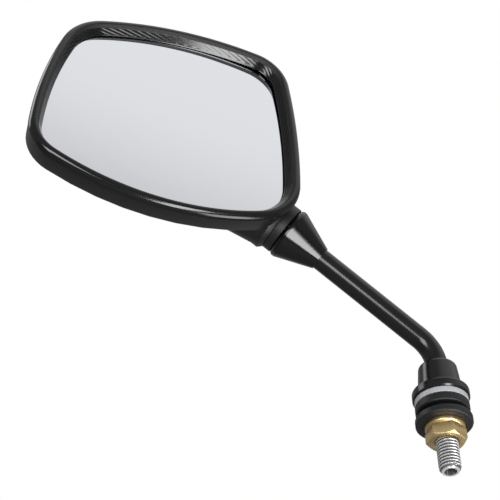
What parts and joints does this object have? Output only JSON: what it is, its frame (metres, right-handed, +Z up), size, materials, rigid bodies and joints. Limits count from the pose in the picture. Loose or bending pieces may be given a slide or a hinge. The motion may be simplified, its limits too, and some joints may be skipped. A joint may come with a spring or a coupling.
{
  "type": "motorcycle mirror",
  "caption": "Motorcycle rear-view mirror: ball-jointed head with a convex glass on a bent round arm, fixed by a rubber-bushed threaded stud with a hexagon nut.",
  "frame": {"origin": "on the stud's axis, at the face where the bracket meets the upper rubber washer", "axes": "+Z up along the stud towards the arm; -Y is the side that the glass faces; the arm bends towards -X"},
  "size_m": [0.2104, 0.0338, 0.2061],
  "materials": {
    "shell_plastic": "matte",
    "bezel_plastic": "semi-gloss",
    "gloss_plastic": "gloss",
    "black_paint": "gloss",
    "soft_rubber": "matte",
    "grey_plastic": "satin",
    "brass": "satin",
    "zinc_steel": "satin",
    "spring_steel": "satin",
    "nylon": "satin",
    "carrier_plastic": "matte",
    "foam": "matte",
    "mirror": "polished"
  },
  "bodies": {
    "arm_assembly": {"stud": "zinc_steel", "brass_nut": "brass", "brass_washer": "brass", "lower_rubber_bush": "soft_rubber", "spacer_tube": "zinc_steel", "upper_rubber_washer": "soft_rubber", "grey_washer": "grey_plastic", "collar": "black_paint", "arm": "black_paint", "cone_cover": "gloss_plastic", "lock_nut": "zinc_steel", "ball_stud": "zinc_steel"},
    "swivel_ring": {"neck_ring": "soft_rubber"},
    "ball_shell": {"ball_liner": "nylon"},
    "head": {"housing_shell": "shell_plastic", "clamp_cap": "carrier_plastic", "clamp_springs": "spring_steel", "clamp_screws": "zinc_steel", "backing_plate": "carrier_plastic", "glass_pad": "foam", "mirror_glass": "mirror", "bezel": "bezel_plastic"}
  },
  "joints": [
    {"name": "head_swivel", "type": "hinge", "parent": "arm_assembly", "child": "swivel_ring", "pos_m": [-0.0848, 0, 0.09486], "axis": [-0.8141, 0, 0.5807], "continuous": true},
    {"name": "head_rock", "type": "hinge", "parent": "swivel_ring", "child": "ball_shell", "pos_m": [-0.0848, 0, 0.09486], "axis": [0, 1, 0], "range_deg": [-12, 12]},
    {"name": "head_nod", "type": "hinge", "parent": "ball_shell", "child": "head", "pos_m": [-0.0848, 0, 0.09486], "axis": [0.5807, 0, 0.8141], "range_deg": [-12, 12]}
  ]
}
